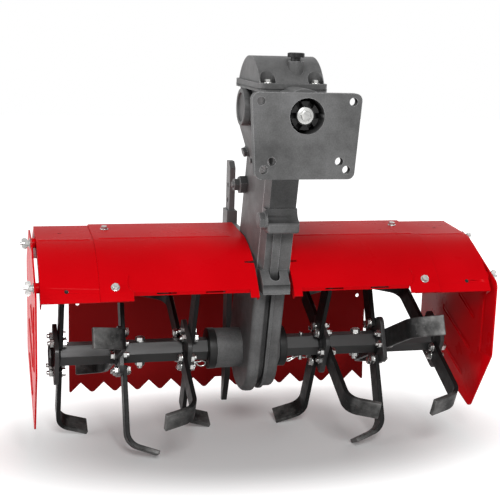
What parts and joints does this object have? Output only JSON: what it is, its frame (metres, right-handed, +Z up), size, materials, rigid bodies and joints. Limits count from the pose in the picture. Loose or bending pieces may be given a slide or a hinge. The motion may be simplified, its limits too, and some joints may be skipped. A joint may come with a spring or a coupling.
{
  "type": "rotary tiller attachment",
  "caption": "Tined rotor under a curved sheet hood, hung on a central drive leg with gearbox and bolt flange for a walking tractor, with a toothed rear flap and a depth stake.",
  "frame": {"origin": "on the floor, under the middle of the machine's box", "axes": "+X along the rotor, to the right seen from the tractor flange; +Y from the tractor flange to the rear flap; +Z up"},
  "size_m": [0.818, 0.581, 0.7284],
  "materials": {
    "cast_grey": "satin grey paint on a casting",
    "red_paint": "gloss red paint",
    "black_steel": "satin black paint",
    "tine_steel": "worn black paint on forged steel",
    "grey_steel": "satin grey paint",
    "zinc": "zinc plated",
    "black_plastic": "moulded"
  },
  "bodies": {
    "frame": {"drive_case": "cast_grey", "chain_cover": "cast_grey", "gearbox_cover": "cast_grey", "filler_cap": "black_plastic", "bearing_cap_left": "cast_grey", "bearing_cap_right": "cast_grey", "hood_cover_left": "red_paint", "hood_cover_right": "red_paint", "hood_end_left": "red_paint", "hood_end_right": "red_paint", "hood_bracket_left": "black_steel", "hood_bracket_right": "black_steel", "side_plate_left": "red_paint", "side_plate_right": "red_paint", "hinge_rod": "zinc", "stake_holder": "grey_steel"},
    "rotor": {"rotor_shaft": "black_steel", "rotor_tube_left": "black_steel", "rotor_tube_right": "black_steel", "tines_left_inner": "tine_steel", "tines_left_middle": "tine_steel", "tines_left_outer": "tine_steel", "tines_right_inner": "tine_steel", "tines_right_middle": "tine_steel", "tines_right_outer": "tine_steel"},
    "input": {"input_coupling": "black_steel"},
    "flap": {"rear_flap": "red_paint"},
    "stake": {"depth_stake": "grey_steel"}
  },
  "joints": [
    {"name": "rotor_spin", "type": "hinge", "parent": "frame", "child": "rotor", "pos_m": [0, 0.0015, 0.18036], "axis": [1, 0, 0], "continuous": true},
    {"name": "input_spin", "type": "hinge", "parent": "frame", "child": "input", "pos_m": [0, -0.267, 0.63536], "axis": [0, 1, 0], "continuous": true},
    {"name": "flap_swing", "type": "hinge", "parent": "frame", "child": "flap", "pos_m": [0, 0.2815, 0.28836], "axis": [1, 0, 0], "range_deg": [0, 70]},
    {"name": "stake_slide", "type": "slide", "parent": "frame", "child": "stake", "axis": [0, 0, 1], "range_m": [-0.06, 0.09]}
  ],
  "couplings": [
    {"joint": "input_spin", "follows": "rotor_spin", "ratio": 3.5}
  ]
}
